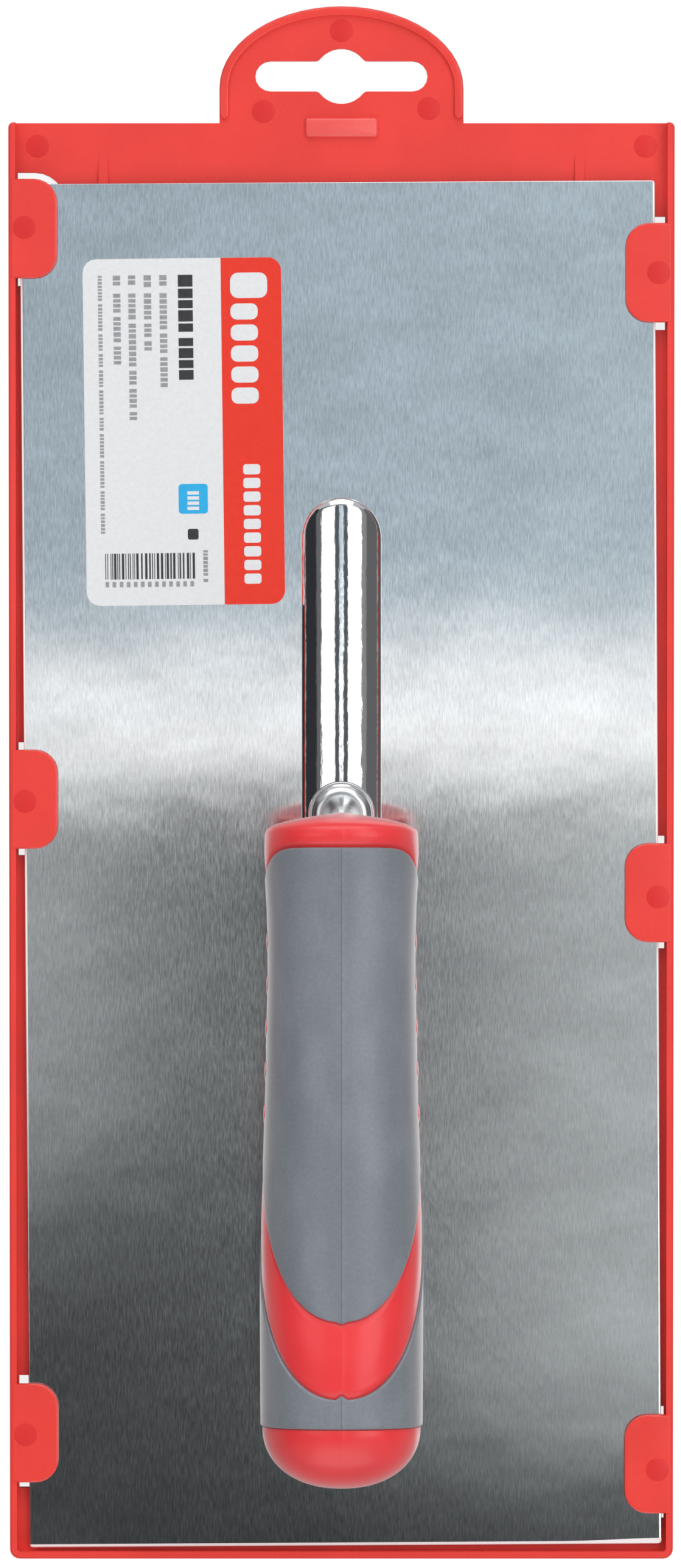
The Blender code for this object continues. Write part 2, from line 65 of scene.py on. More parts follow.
MM = 0.001
CARRIER = "carrier"
TROWEL = "trowel"
ALONG_X = Vector((1, 0, 0))
ALONG_Y = Vector((0, 1, 0))
ALONG_Z = Vector((0, 0, 1))


# Places read from the frame

blade_low, blade_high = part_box("blade")
bar_low, bar_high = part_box("shank_bar")
label_low, label_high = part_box("blade_label")
core_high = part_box("handle_core")[1]
ring_low, ring_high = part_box("grip_rear_ring")
cap_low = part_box("end_cap")[0]
neck_low, neck_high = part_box("neck_tang")
carrier_low, carrier_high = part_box("blade_carrier")

BLADE_TOP = blade_high.z
HANDLE_FRONT = core_high.y
HANDLE_Z = (ring_low.z + ring_high.z) / 2
HANDLE_LENGTH = HANDLE_FRONT - cap_low.y
BAR_MIDDLE = (bar_low.y + bar_high.y) / 2


# Mesh helpers


def link(name, mesh):
    made = bpy.data.objects.new(name, mesh)
    bpy.context.scene.collection.objects.link(made)
    return made


def mesh_object(name, vertices, faces):
    mesh = bpy.data.meshes.new(name)
    mesh.from_pydata([tuple(v) for v in vertices], [], faces)
    work = bmesh.new()
    work.from_mesh(mesh)
    bmesh.ops.recalc_face_normals(work, faces=work.faces)
    work.to_mesh(mesh)
    work.free()
    return link(name, mesh)


def smooth(made, degrees=35.0):
    made.data.shade_smooth()
    made.data.set_sharp_from_angle(angle=math.radians(degrees))
    return made


def skin(name, rings, closed=False):
    """Joins rings of equal length; the end rings are capped, or joined when closed."""
    sides = len(rings[0])
    vertices = [point for ring in rings for point in ring]
    faces = []
    for r in range(len(rings) if closed else len(rings) - 1):
        here = r * sides
        there = ((r + 1) % len(rings)) * sides
        for i in range(sides):
            j = (i + 1) % sides
            faces.append((here + i, here + j, there + j, there + i))
    if not closed:
        last = (len(rings) - 1) * sides
        faces.append(tuple(range(sides))[::-1])
        faces.append(tuple(last + i for i in range(sides)))
    return mesh_object(name, vertices, faces)


def arc(centre, radius, start, end, steps):
    """Points round a centre, between two angles in degrees."""
    points = []
    for i in range(steps + 1):
        angle = math.radians(start + (end - start) * i / steps)
        points.append((centre[0] + radius * math.cos(angle), centre[1] + radius * math.sin(angle)))
    return points


def circle(centre, radius, sides, right, up):
    """A ring of points in the plane of two unit directions."""
    ring = []
    for i in range(sides):
        angle = 2 * math.pi * i / sides
        ring.append(centre + radius * (math.cos(angle) * right + math.sin(angle) * up))
    return ring


def rounded_rectangle(centre, size, radius, steps=6):
    half_x = size[0] / 2 - radius
    half_y = size[1] / 2 - radius
    points = []
    for i, (sx, sy) in enumerate(((1, 1), (-1, 1), (-1, -1), (1, -1))):
        corner = (centre[0] + sx * half_x, centre[1] + sy * half_y)
        points += arc(corner, radius, 90 * i, 90 * i + 90, steps)
    return points


def plate(name, outlines, low, high, edge=0.0):
    """One mesh of several outlines, each extruded from low to high, with softened upper edges."""
    vertices = []
    faces = []
    for outline in outlines:
        start = len(vertices)
        count = len(outline)
        vertices += [(x, y, low) for x, y in outline] + [(x, y, high) for x, y in outline]
        faces.append(tuple(start + i for i in range(count))[::-1])
        faces.append(tuple(start + count + i for i in range(count)))
        for i in range(count):
            j = (i + 1) % count
            faces.append((start + i, start + j, start + count + j, start + count + i))
    made = mesh_object(name, vertices, faces)
    if edge:
        work = bmesh.new()
        work.from_mesh(made.data)
        upper = [e for e in work.edges if all(v.co.z > high - 1e-7 for v in e.verts)]
        bmesh.ops.bevel(work, geom=upper, offset=edge, segments=3, profile=0.5, affect="EDGES")
        work.to_mesh(made.data)
        work.free()
    return made


def apply_modifiers(made):
    graph = bpy.context.evaluated_depsgraph_get()
    mesh = bpy.data.meshes.new_from_object(made.evaluated_get(graph))
    made.modifiers.clear()
    made.data = mesh
    return made


def finish_piece(made, body, look, replaced=()):
    made.data.materials.clear()
    made.data.materials.append(look)
    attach(made, body)
    if replaced:
        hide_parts(*replaced)
    return made


# Node helpers


class Graph:
    """Short ways to add nodes to a node tree."""

    def __init__(self, tree):
        self.tree = tree

    def node(self, kind, **settings):
        made = self.tree.nodes.new(kind)
        for key, value in settings.items():
            setattr(made, key, value)
        return made

    def wire(self, source, target):
        self.tree.links.new(source, target)

    def feed(self, socket, value):
        """Sets a number or a colour on a socket, or wires it to a node's output."""
        if isinstance(value, (int, float)):
            socket.default_value = value
        elif isinstance(value, tuple):
            socket.default_value = (*value, 1.0)
        else:
            self.wire(value, socket)

    def math(self, operation, *values):
        made = self.node("ShaderNodeMath", operation=operation)
        for socket, value in zip(made.inputs, values):
            self.feed(socket, value)
        return made.outputs[0]

    def span(self, source, low, high, to_low=0.0, to_high=1.0, kind="LINEAR"):
        """Carries low..high to to_low..to_high, and holds the ends beyond them."""
        made = self.node("ShaderNodeMapRange", interpolation_type=kind)
        self.wire(source, made.inputs["Value"])
        for key, value in (("From Min", low), ("From Max", high), ("To Min", to_low), ("To Max", to_high)):
            made.inputs[key].default_value = value
        return made.outputs["Result"]

    def ease(self, source, low, high, to_low=0.0, to_high=1.0):
        """A span with a soft start and end."""
        return self.span(source, low, high, to_low, to_high, "SMOOTHSTEP")

    def mix(self, factor, a, b, blend="MIX"):
        made = self.node("ShaderNodeMix", data_type="RGBA", blend_type=blend)
        for key, value in (("Factor", factor), ("A", a), ("B", b)):
            self.feed(made.inputs[key], value)
        return made.outputs["Result"]


class Look(Graph):
    """A Principled material."""

    def __init__(self, name):
        self.material = bpy.data.materials.new(name)
        self.material.use_nodes = True
        super().__init__(self.material.node_tree)
        self.shader = self.tree.nodes["Principled BSDF"]
        self.place = self.node("ShaderNodeTexCoord").outputs["Object"]

    def set(self, **values):
        for key, value in values.items():
            self.shader.inputs[key.replace("_", " ")].default_value = value

    def noise(self, scale, detail=3.0, roughness=0.5):
        """Noise whose features are about 1/scale metres long on each axis."""
        mapping = self.node("ShaderNodeMapping")
        mapping.inputs["Scale"].default_value = scale
        self.wire(self.place, mapping.inputs["Vector"])
        made = self.node("ShaderNodeTexNoise")
        made.inputs["Scale"].default_value = 1.0
        made.inputs["Detail"].default_value = detail
        made.inputs["Roughness"].default_value = roughness
        self.wire(mapping.outputs["Vector"], made.inputs["Vector"])
        return made.outputs["Fac"]

    def axis(self, index):
        made = self.node("ShaderNodeSeparateXYZ")
        self.wire(self.place, made.inputs[0])
        return made.outputs[index]

    def shaded(self, tone, factor):
        """A colour multiplied by one factor."""
        grey = self.node("ShaderNodeCombineColor")
        for socket in grey.inputs:
            self.wire(factor, socket)
        return self.mix(1.0, tone, grey.outputs[0], "MULTIPLY")

    def bump(self, height, distance, strength, below=None):
        made = self.node("ShaderNodeBump")
        made.inputs["Strength"].default_value = strength
        made.inputs["Distance"].default_value = distance
        self.wire(height, made.inputs["Height"])
        if below:
            self.wire(below, made.inputs["Normal"])
        return made.outputs["Normal"]

    def colour(self, source):
        self.wire(source, self.shader.inputs["Base Color"])

    def roughness(self, source):
        self.wire(source, self.shader.inputs["Roughness"])

    def normal(self, source):
        self.wire(source, self.shader.inputs["Normal"])


# Materials


def moulded_red(name, light, dark, roughness, grain, depth, sheen=0.0):
    """Injection moulded plastic: slight flow mottling and a fine tool grain, depth metres high."""
    look = Look(name)
    flow = look.noise((60, 60, 60), 2.0)
    speck = look.noise((grain, grain, grain), 2.0)
    tone = look.mix(look.ease(flow, 0.35, 0.65), dark, light)
    look.colour(look.shaded(tone, look.span(speck, 0.3, 0.7, 0.97, 1.02)))
    haze = look.noise((300, 300, 300), 3.0)
    look.roughness(look.span(haze, 0.3, 0.7, roughness - 0.03, roughness + 0.03))
    look.normal(look.bump(speck, depth, 0.5))
    look.set(IOR=1.49, Sheen_Weight=sheen, Sheen_Roughness=0.34)
    return look.material


# Half the width of the line of painted shade along the grip's parting line.
PARTING_SHADE_HALF_WIDTH = 0.08 * MM


def soft_grip():
    """Matt grey elastomer with a fine even tooth, and a thin line of painted shade along the mould's
    parting line at the top and bottom.
    """
    look = Look("grip elastomer")
    tooth = look.noise((2600, 2600, 2600), 2.0, 0.6)
    cloud = look.noise((110, 55, 110), 3.0)
    tone = look.mix(look.ease(cloud, 0.35, 0.65), (0.190, 0.205, 0.233), (0.222, 0.238, 0.268))
    # Painted shade: a thin dark line where x is near 0, along the parting line on the top and bottom.
    parting_shade = look.math("LESS_THAN", look.math("ABSOLUTE", look.axis(0)), PARTING_SHADE_HALF_WIDTH)
    tone = look.mix(look.math("MULTIPLY", parting_shade, 0.55), tone, (0.07, 0.08, 0.09))
    grain = look.noise((1400, 1400, 1400), 3.0, 0.7)
    look.colour(look.shaded(tone, look.span(grain, 0.35, 0.65, 0.93, 1.06)))
    look.roughness(look.span(tooth, 0.3, 0.7, 0.34, 0.46))
    look.normal(look.bump(tooth, 0.00006, 0.6))
    look.set(IOR=1.5, Sheen_Weight=1.0, Sheen_Roughness=0.34, Sheen_Tint=(1.0, 0.97, 0.93, 1.0))
    return look.material


BLADE_SIZE = (130.0 * MM, 280.0 * MM)
BLADE_TURN = math.radians(0.36)
# Widths of the painted highlight strips along the blade's sides and across its foot end.
SIDE_HIGHLIGHT = 0.42 * MM
END_HIGHLIGHT = (0.62 * MM, 1.15 * MM)


def painted_edge_highlights(look):
    """1 on the strips of painted edge highlight, which run down the blade's sides and across its foot end.
    The side strips fade out towards the foot end, and the foot strip widens towards the right.
    """
    middle = (blade_low + blade_high) / 2
    turned = look.node("ShaderNodeVectorRotate", rotation_type="Z_AXIS")
    turned.inputs["Center"].default_value = middle
    turned.inputs["Angle"].default_value = -BLADE_TURN
    look.wire(look.place, turned.inputs["Vector"])
    split = look.node("ShaderNodeSeparateXYZ")
    look.wire(turned.outputs[0], split.inputs[0])
    x = look.math("SUBTRACT", split.outputs[0], middle.x)
    y = look.math("SUBTRACT", split.outputs[1], middle.y)
    side_margin = look.math("SUBTRACT", BLADE_SIZE[0] / 2, look.math("ABSOLUTE", x))
    side_line = look.math("LESS_THAN", side_margin, SIDE_HIGHLIGHT)
    side_line = look.math("MULTIPLY", side_line, look.ease(y, -0.085, -0.010))
    end_margin = look.math("ADD", y, BLADE_SIZE[1] / 2)
    end_line = look.math("LESS_THAN", end_margin, look.ease(x, 0.045, BLADE_SIZE[0] / 2, *END_HIGHLIGHT))
    return look.math("MAXIMUM", side_line, end_line)


def brushed_blade():
    """Stainless sheet brushed along its length, slightly wavy, with a painted highlight along its edges."""
    look = Look("brushed blade")
    hair = look.noise((3300, 420, 900), 3.0, 0.65)
    fine = look.noise((6500, 420, 1000), 2.0, 0.6)
    streak = look.math("ADD", look.math("MULTIPLY", hair, 0.55), look.math("MULTIPLY", fine, 0.45))
    tone = look.mix(look.span(streak, 0.38, 0.62), (0.515, 0.525, 0.533), (0.740, 0.752, 0.761))
    patch = look.noise((45, 95, 60), 4.0, 0.6)
    tone = look.shaded(tone, look.span(patch, 0.3, 0.7, 0.89, 1.08))
    # Painted highlight: on the edge strips the colour is near-white, matt and not metallic.
    edge = painted_edge_highlights(look)
    look.colour(look.mix(edge, tone, (0.97, 0.96, 0.95)))
    look.roughness(look.mix(edge, look.span(streak, 0.3, 0.7, 0.065, 0.095), (0.45, 0.45, 0.45)))
    look.wire(look.span(edge, 0.0, 1.0, 1.0, 0.0), look.shader.inputs["Metallic"])
    wavy = look.bump(look.noise((40, 60, 40), 2.0), 0.000035, 0.5)
    look.normal(look.bump(streak, 0.000001, 0.5, below=wavy))
    look.set(Anisotropic=0.85)
    grain = look.node("ShaderNodeTangent", direction_type="RADIAL", axis="Y")
    look.wire(grain.outputs["Tangent"], look.shader.inputs["Tangent"])
    return look.material


def chrome_plate(name, low, high, wave, tint=1.0):
    """Plate with a slight ripple, wave metres high, and a roughness from low to high."""
    look = Look(name)
    haze = look.noise((400, 400, 400), 2.0)
    dull = tuple(tint * part for part in (0.83, 0.84, 0.85))
    bright = tuple(tint * part for part in (0.90, 0.905, 0.91))
    look.colour(look.mix(haze, dull, bright))
    look.roughness(look.span(haze, 0.3, 0.7, low, high))
    ripple = look.bump(look.noise((330, 70, 330), 4.0, 0.6), wave, 0.5)
    look.normal(look.bump(look.noise((2200, 900, 2200), 2.0), wave / 14, 0.5, below=ripple))
    look.set(Metallic=1.0)
    return look.material


def zinc_plate():
    look = Look("zinc plate")
    patch = look.noise((700, 700, 700), 3.0)
    look.colour(look.mix(patch, (0.56, 0.56, 0.53), (0.68, 0.68, 0.66)))
    look.roughness(look.span(patch, 0.3, 0.7, 0.28, 0.42))
    look.set(Metallic=1.0)
    return look.material


def label_film(name, light, dark):
    look = Look(name)
    fibre = look.noise((1200, 1200, 1200), 2.0)
    look.colour(look.mix(look.span(fibre, 0.35, 0.65), dark, light))
    look.roughness(look.span(fibre, 0.3, 0.7, 0.40, 0.52))
    look.normal(look.bump(fibre, 0.00001, 0.4))
    return look.material


# Blade carrier


def ejector_marks():
    """Centres and heights of the round ejector-pin marks.

    They are on the tab, the tray's top corners and the clips.
    """
    floor_top = carrier_low.z + 1.5 * MM
    clip_top = carrier_high.z
    top = carrier_high.y
    marks = [(0.0, top - 5.0 * MM, floor_top), (-16.0 * MM, top - 21.5 * MM, floor_top),
             (17.9 * MM, top - 20.9 * MM, floor_top)]
    marks += [(side * 62.3 * MM, top - 28.6 * MM, floor_top) for side in (-1, 1)]
    for side, places in ((-1, (113.9, -3.5, -133.7)), (1, (104.7, -23.1, -140.9))):
        marks += [(side * 64.9 * MM, y * MM, clip_top) for y in places]
    return marks


def welded_copy(node, name):
    """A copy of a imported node's mesh with its shared corners joined."""
    work = bmesh.new()
    work.from_mesh(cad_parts[node].data)
    bmesh.ops.remove_doubles(work, verts=work.verts, dist=1e-7)
    mesh = bpy.data.meshes.new(name)
    work.to_mesh(mesh)
    work.free()
    return link(name, mesh)


def break_edges(made, width, segments=2, angle=40.0):
    """Rounds the edges while the flat faces keep flat shading."""
    bevel = made.modifiers.new("broken edges", "BEVEL")
    bevel.width = width
    bevel.segments = segments
    bevel.limit_method = "ANGLE"
    bevel.angle_limit = math.radians(angle)
    made.data.shade_smooth()
    weigh = made.modifiers.new("flat faces stay flat", "WEIGHTED_NORMAL")
    weigh.weight = 100
    return apply_modifiers(made)


PIN_RADIUS = 2.35 * MM
PAD_SIZE = (14.9 * MM, 3.9 * MM)
PAD_BACK = 24.8 * MM
PAD_TOP = 2.5 * MM  # just under the blade, which passes over the pad as it slides out


def build_carrier(look, mark_look, pad_highlight_look):
    made = break_edges(welded_copy("blade_carrier", "carrier_moulding"), 0.32 * MM, 3)
    finish_piece(made, CARRIER, look, ["blade_carrier"])
    marks = ejector_marks()
    for level in sorted({mark[2] for mark in marks}):
        circles = [arc(mark[:2], PIN_RADIUS, 0, 352.5, 47) for mark in marks if mark[2] == level]
        name = "clip_pin_marks" if level > 2 * MM else "floor_pin_marks"
        discs = plate(name, circles, level - 0.2 * MM, level + 0.05 * MM, 0.04 * MM)
        finish_piece(smooth(discs, 30), CARRIER, mark_look)
    outline = rounded_rectangle((0, carrier_high.y - PAD_BACK), PAD_SIZE, 0.7 * MM)
    pad = plate("hang_tab_pad", [outline], PAD_TOP - 1.1 * MM, PAD_TOP, 0.6 * MM)
    return finish_piece(smooth(pad, 50), CARRIER, pad_highlight_look)


# Blade and label


def build_blade(look):
    made = break_edges(welded_copy("blade", "blade_sheet"), 0.12 * MM, 1, 60)
    return finish_piece(made, TROWEL, look, ["blade"])


LABEL_SIZE = (40.7 * MM, 71.0 * MM)
LABEL_CORNER = 2.8 * MM
LABEL_TURN = math.radians(0.7)
LABEL_BAND = 12.4 * MM
LABEL_FILM = 0.10 * MM
INK = 0.02 * MM


def on_label(outline):
    """Label coordinates, from its lower left corner, to the frame."""
    centre = (label_low + label_high) / 2
    cosine = math.cos(LABEL_TURN)
    sine = math.sin(LABEL_TURN)
    points = []
    for u, v in outline:
        x = u - LABEL_SIZE[0] / 2
        y = v - LABEL_SIZE[1] / 2
        points.append((centre.x + x * cosine - y * sine, centre.y + x * sine + y * cosine))
    return points


def box_outline(u, v, width, height, radius=0.0):
    if radius:
        return rounded_rectangle((u + width / 2, v + height / 2), (width, height), radius, 4)
    return [(u, v), (u + width, v), (u + width, v + height), (u, v + height)]


def greeked_column(source, u, width, top, bottom, block, gap):
    """Plain blocks down a column, in runs, standing for a line of small print."""
    outlines = []
    place = top
    run = source.randint(3, 8)
    while place - block > bottom:
        length = block * source.uniform(0.75, 1.15)
        outlines.append(box_outline(u, place - length, width, length))
        run -= 1
        place -= length + (gap if run else 3.2 * gap)
        run = run or source.randint(3, 8)
    return outlines


LABEL_BASE = BLADE_TOP + 0.03 * MM
LABEL_TOP = LABEL_BASE + LABEL_FILM
LABEL_SEAM = LABEL_SIZE[0] - LABEL_BAND
LABEL_HEIGHT = LABEL_SIZE[1]


def printed(name, outlines, level, look):
    """Flat blocks of ink, each given in label coordinates."""
    made = plate(name, [on_label(outline) for outline in outlines], level, level + INK)
    return finish_piece(made, TROWEL, look)


def build_label_film(film_look, red_look):
    outline = box_outline(0, 0, *LABEL_SIZE, LABEL_CORNER)
    film = plate("label_film", [on_label(outline)], LABEL_BASE, LABEL_TOP, 0.04 * MM)
    finish_piece(film, TROWEL, film_look, ["blade_label"])
    inset = 0.02 * MM
    corner_u = LABEL_SIZE[0] - LABEL_CORNER
    band = [(LABEL_SEAM, inset)]
    band += arc((corner_u, LABEL_CORNER), LABEL_CORNER - inset, -90, 0, 8)
    band += arc((corner_u, LABEL_HEIGHT - LABEL_CORNER), LABEL_CORNER - inset, 0, 90, 8)
    band.append((LABEL_SEAM, LABEL_HEIGHT - inset))
    printed("label_band", [band], LABEL_TOP, red_look)


def bar_pattern(source):
    """Plain bars with random widths and gaps, which encode nothing."""
    bars = []
    place = 3.9 * MM
    while place < 22.0 * MM:
        thick = source.choice((0.16, 0.2, 0.32, 0.48)) * MM
        bars.append(box_outline(place, 5.4 * MM, thick, 5.3 * MM))
        place += thick + source.choice((0.18, 0.26, 0.36, 0.5)) * MM
    return bars


def build_label_print(source, ink_look, grey_look):
    """Blocks in place of the label's print: a heading, a square, bars and small print."""
    first = LABEL_HEIGHT - 3.4 * MM
    heading_end = LABEL_HEIGHT - 26.6 * MM
    dark = greeked_column(source, 19.5 * MM, 3.0 * MM, first, heading_end, 2.15 * MM, 0.4 * MM)
    dark.append(box_outline(20.9 * MM, 13.4 * MM, 2.2 * MM, 2.2 * MM, 0.4 * MM))
    printed("label_print", dark + bar_pattern(source), LABEL_TOP, ink_look)
    small = []
    number_end = LABEL_HEIGHT - 5.9 * MM
    text_start = LABEL_HEIGHT - 7.1 * MM
    for u, stop in ((15.7, 26.8), (12.5, 19.4), (9.3, 33.4), (6.2, 22.0)):
        text_end = LABEL_HEIGHT - stop * MM
        small += greeked_column(source, u * MM, 1.5 * MM, first, number_end, 1.0 * MM, 0.25 * MM)
        small += greeked_column(source, u * MM, 1.5 * MM, text_start, text_end, 0.85 * MM, 0.28 * MM)
    small += greeked_column(source, 3.1 * MM, 0.85 * MM, first, 14.0 * MM, 0.5 * MM, 0.22 * MM)
    small += greeked_column(source, 24.0 * MM, 0.95 * MM, 11.2 * MM, 4.0 * MM, 0.6 * MM, 0.2 * MM)
    small += [box_outline((3.9 + 1.45 * i) * MM, 3.8 * MM, 0.75 * MM, 1.1 * MM) for i in range(13)]
    printed("label_small_print", small, LABEL_TOP, grey_look)


def build_label_tag(blue_look, film_look):
    tag = box_outline(19.1 * MM, 18.7 * MM, 6.0 * MM, 6.1 * MM, 0.7 * MM)
    printed("label_tag", [tag], LABEL_TOP, blue_look)
    marks = [box_outline(20.9 * MM, (22.6 - 1.05 * i) * MM, 2.4 * MM, 0.7 * MM) for i in range(4)]
    printed("label_tag_mark", marks, LABEL_TOP + INK, film_look)


def build_band_marks(film_look):
    """Pale rounded blocks in place of the large signs on the red band."""
    left = LABEL_SEAM + 1.9 * MM
    signs = [box_outline(left, LABEL_HEIGHT - 8.3 * MM, 7.6 * MM, 5.2 * MM, 1.6 * MM)]
    for i in range(5):
        low = LABEL_HEIGHT - (12.7 + 4.3 * i) * MM
        signs.append(box_outline(left, low, 5.6 * MM, 3.3 * MM, 1.3 * MM))
    for i in range(9):
        low = (26.6 - 2.8 * i) * MM
        signs.append(box_outline(LABEL_SEAM + 4.1 * MM, low, 3.5 * MM, 2.1 * MM, 0.6 * MM))
    printed("label_band_marks", signs, LABEL_TOP + INK, film_look)


# Shank bar and neck

BAR_SLOPE = math.radians(52)  # how steeply the bar's round top meets its upright sides
SOCKET_SPAN = (7.0 * MM, 20.0 * MM)  # heights between which the bar is cut away for the neck's foot


def bar_ring(inset, steps=28):
    """One line round the bar's top: a circular section runs straight to ends with a broad soft edge."""
    half = bar_high.x
    radius = half / math.sin(BAR_SLOPE)
    reach = (bar_high.y - bar_low.y) / 2 - half
    ring = []
    for end in (1, -1):
        for i in range(steps + 1):
            angle = math.pi * (i / steps if end > 0 else 1 + i / steps)
            x = (half - inset) * math.cos(angle)
            y = BAR_MIDDLE + end * reach + (half - inset) * math.sin(angle)
            endwise = math.sin(angle) ** 2
            width = (0.3 + 1.5 * endwise) * MM
            drop = (0.15 + 0.85 * endwise) * MM
            lowered = drop * (1 - min(inset / width, 1)) ** 2
            z = bar_high.z - radius + math.sqrt(radius ** 2 - x ** 2) - lowered
            ring.append(Vector((x, y, z)))
    return ring


def build_bar(look):
    half = bar_high.x
    edge = 0.15 * MM
    foot = [[Vector((x, y, bar_low.z)) for x, y, _ in bar_ring(edge)]]
    foot.append([Vector((x, y, bar_low.z + edge)) for x, y, _ in bar_ring(0)])
    insets = [0.1 * MM * i for i in range(4)] + [0.3 * MM * i for i in range(2, 7)]
    insets += [1.8 * MM + (half - 1.82 * MM) * i / 22 for i in range(1, 23)]
    bar = skin("shank_bar_polished", foot + [bar_ring(inset) for inset in insets])
    cut = FOOT_RADIUS + 0.12 * MM
    centres = [Vector((0, neck_axis_y(), z)) for z in SOCKET_SPAN]
    cutter = skin("socket_cutter", [circle(centre, cut, 64, ALONG_X, ALONG_Y) for centre in centres])
    step = bar.modifiers.new("socket", "BOOLEAN")
    step.operation = "DIFFERENCE"
    step.object = cutter
    apply_modifiers(bar)
    bpy.data.objects.remove(cutter)
    smooth(bar, 40)
    return finish_piece(bar, TROWEL, look, ["shank_bar"])


FOOT_RADIUS = 6.7 * MM
NECK_RADIUS = 4.2 * MM
TANG_RADIUS = 3.0 * MM
FOOT_Z = 7.3 * MM
FOOT_RIM_Z = 10.5 * MM
FOOT_TOP_Z = 14.6 * MM
DOME_HEIGHT = 2.2 * MM
TANG_STRAIGHT = 27.4 * MM
TANG_Z = HANDLE_Z - 0.5 * MM


def neck_axis_y():
    return neck_high.y - FOOT_RADIUS


def swept_ring(y, z, tangent, radius, sides):
    """A ring square to the tangent, which lies in the handle's middle plane."""
    along = Vector((0, tangent[0], tangent[1])).normalized()
    return circle(Vector((0, y, z)), radius, sides, ALONG_X, along.cross(ALONG_X))


def bent_line(controls, steps):
    """Points on a cubic curve with four control points."""
    line = []
    for i in range(steps + 1):
        t = i / steps
        weights = ((1 - t) ** 3, 3 * t * (1 - t) ** 2, 3 * t * t * (1 - t), t ** 3)
        line.append(tuple(sum(w * c[k] for w, c in zip(weights, controls)) for k in range(2)))
    return line


def foot_profile():
    """Radius and height up the turned foot: its side, its rim and the low dome inside it."""
    profile = [(FOOT_RADIUS - 0.1 * MM, FOOT_Z), (FOOT_RADIUS, FOOT_Z + 0.1 * MM)]
    edge = 0.2 * MM
    for i in range(5):
        angle = math.radians(90 * i / 4)
        radius = FOOT_RADIUS - edge + edge * math.cos(angle)
        profile.append((radius, FOOT_RIM_Z - edge + edge * math.sin(angle)))
    dome = FOOT_RADIUS - 0.4 * MM
    for i in range(13):
        angle = math.radians(90 * i / 12)
        radius = NECK_RADIUS + (dome - NECK_RADIUS) * math.cos(angle)
        profile.append((radius, FOOT_RIM_Z + DOME_HEIGHT * math.sin(angle)))
    profile.append((NECK_RADIUS, FOOT_TOP_Z))
    return profile


def build_neck(look):
    """The turned foot, then the rod bent back into the handle, then the tang."""
    sides = 64
    upright = (0, 1)
    backward = (-1, 0)
    y = neck_axis_y()
    rings = [swept_ring(y, z, upright, radius, sides) for radius, z in foot_profile()]
    tang_y = HANDLE_FRONT - TANG_STRAIGHT
    leaving = (y - 0.5 * MM, FOOT_TOP_Z + 20.5 * MM)
    arriving = (tang_y + 19 * MM, TANG_Z)
    line = bent_line(((y, FOOT_TOP_Z), leaving, arriving, (tang_y, TANG_Z)), 48)
    for i in range(1, len(line) - 1):
        before = line[i - 1]
        after = line[i + 1]
        tangent = (after[0] - before[0], after[1] - before[1])
        rings.append(swept_ring(*line[i], tangent, NECK_RADIUS, sides))
    rings.append(swept_ring(*line[-1], backward, NECK_RADIUS, sides))
    for end in (tang_y - 4.6 * MM, neck_low.y):
        rings.append(swept_ring(end, TANG_Z, backward, TANG_RADIUS, sides))
    neck = smooth(skin("neck_rod", rings), 40)
    return finish_piece(neck, TROWEL, look, ["neck_tang"])


# Handle. A station is a distance back from the handle's front end.

HEIGHT_RATIO = 1.04
SECTION_POWER = 2.25
# Station and half width, in mm. The handle is waisted behind its collar and fuller towards its cap.
WIDTH_STATIONS = ((0.0, 15.5), (8.0, 15.5), (20.0, 14.85), (32.0, 14.7), (44.0, 14.95),
                  (56.0, 15.2), (68.0, 15.6), (81.0, 16.05), (93.0, 16.25), (122.0, 16.15))
FRONT_ROUND = 3.4 * MM
FRONT_POWER = 2.5
FRONT_LEAN = 1.5 * MM
LEAN_FADE = 25.0 * MM
PROUD = 0.3 * MM
COLLAR_TOP = 6.5 * MM
COLLAR_SIDE = 6.4 * MM
COLLAR_CHIN = 1.6 * MM
COLLAR_POWER = 4
CAP_POWER = 2.2
GRIP_END = 122.1
CAP_EDGE = 0.25 * MM
SPIGOT_STATION = 118.2 * MM
SPIGOT_RADIUS = 9.3 * MM
COUNTERBORE_STATIONS = (108 * MM, 140 * MM)
COUNTERBORE_RADIUS = 10.6 * MM
SEAM = 0.06 * MM
SIDES = 112


def half_width(station):
    knots = WIDTH_STATIONS
    station = min(max(station / MM, knots[0][0]), knots[-1][0])
    i = max(k for k in range(len(knots) - 1) if knots[k][0] <= station)

    def slope(k):
        low = max(k - 1, 0)
        high = min(k + 1, len(knots) - 1)
        return (knots[high][1] - knots[low][1]) / (knots[high][0] - knots[low][0])

    span = knots[i + 1][0] - knots[i][0]
    t = (station - knots[i][0]) / span
    start = (2 * t ** 3 - 3 * t ** 2 + 1) * knots[i][1] + (t ** 3 - 2 * t ** 2 + t) * span * slope(i)
    end = (3 * t ** 2 - 2 * t ** 3) * knots[i + 1][1] + (t ** 3 - t ** 2) * span * slope(i + 1)
    return (start + end) * MM


def section(angle):
    power = 2 / SECTION_POWER
    x = math.copysign(abs(math.sin(angle)) ** power, math.sin(angle))
    z = math.copysign(abs(math.cos(angle)) ** power, math.cos(angle))
    return x, z


def handle_point(station, angle, radius):
    x, z = section(angle)
    fade = max(0.0, 1 - station / LEAN_FADE) ** 2
    y = HANDLE_FRONT - station - FRONT_LEAN * (1 - z) * fade
    return Vector((x * radius, y, HANDLE_Z + z * radius * HEIGHT_RATIO))


def ring_angles():
    """Even angles, with close pairs on each side of the mould's parting line at the top and bottom."""
    angles = [2 * math.pi * i / SIDES for i in range(SIDES)]
    for middle in (0.0, math.pi):
        angles += [middle + d * math.radians(a) for a in (0.35, 0.9) for d in (-1, 1)]
    return sorted(a % (2 * math.pi) for a in angles)


